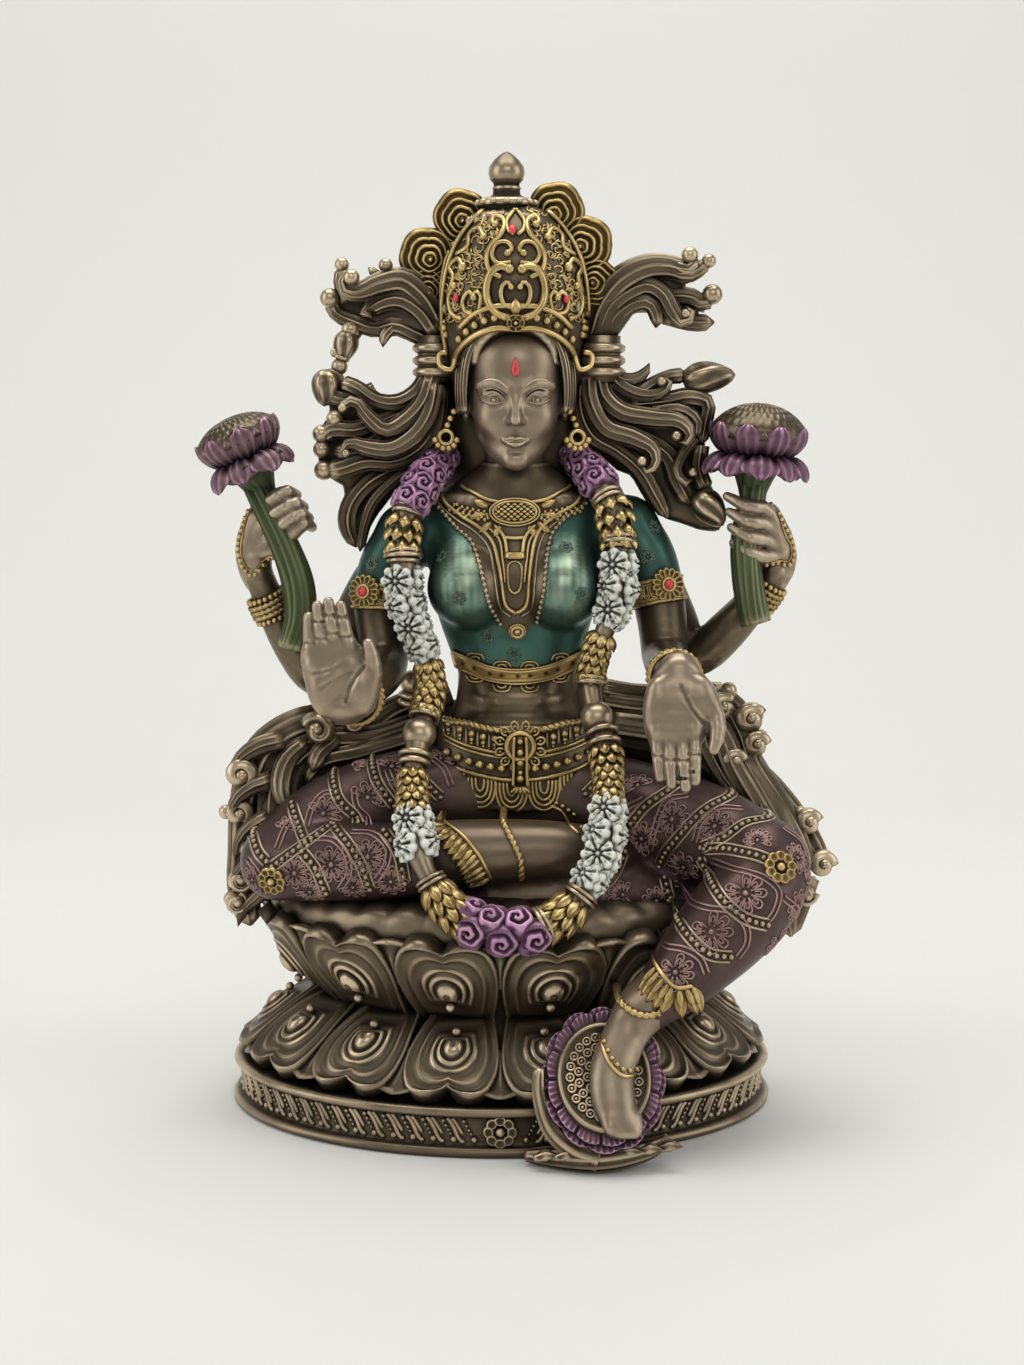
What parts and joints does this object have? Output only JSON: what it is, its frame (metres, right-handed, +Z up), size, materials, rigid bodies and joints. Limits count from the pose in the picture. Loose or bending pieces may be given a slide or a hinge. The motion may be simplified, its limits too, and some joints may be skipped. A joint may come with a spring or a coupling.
{
  "type": "lakshmi figure",
  "caption": "Cast figurine of a four-armed goddess seated on a double lotus plinth, one hand raised, one lowered, two holding lotus flowers.",
  "frame": {"origin": "middle of the plinth's flat underside", "axes": "+Z up, -Y towards the front of the figure, +X towards the figure's own left"},
  "size_m": [0.1658, 0.1181, 0.25],
  "materials": {
    "bronze_resin": "cold-cast bronze resin, dark in the recesses and rubbed bright on the ridges",
    "hand_bronze": "plain matte bronze on the face, hands and feet",
    "antique_gold": "antique gold paint over the bronze, dark in the recesses",
    "teal_paint": "thin pearly teal paint over the bronze",
    "mauve_paint": "thin mauve wash over the bronze",
    "purple_paint": "pearly purple paint, rubbed on the edges",
    "white_paint": "white paint, dark in the recesses",
    "green_paint": "thin green paint over the bronze",
    "red_paint": "red enamel"
  },
  "bodies": {
    "root": {"lakshmi_figure": "bronze_resin"}
  },
  "joints": []
}
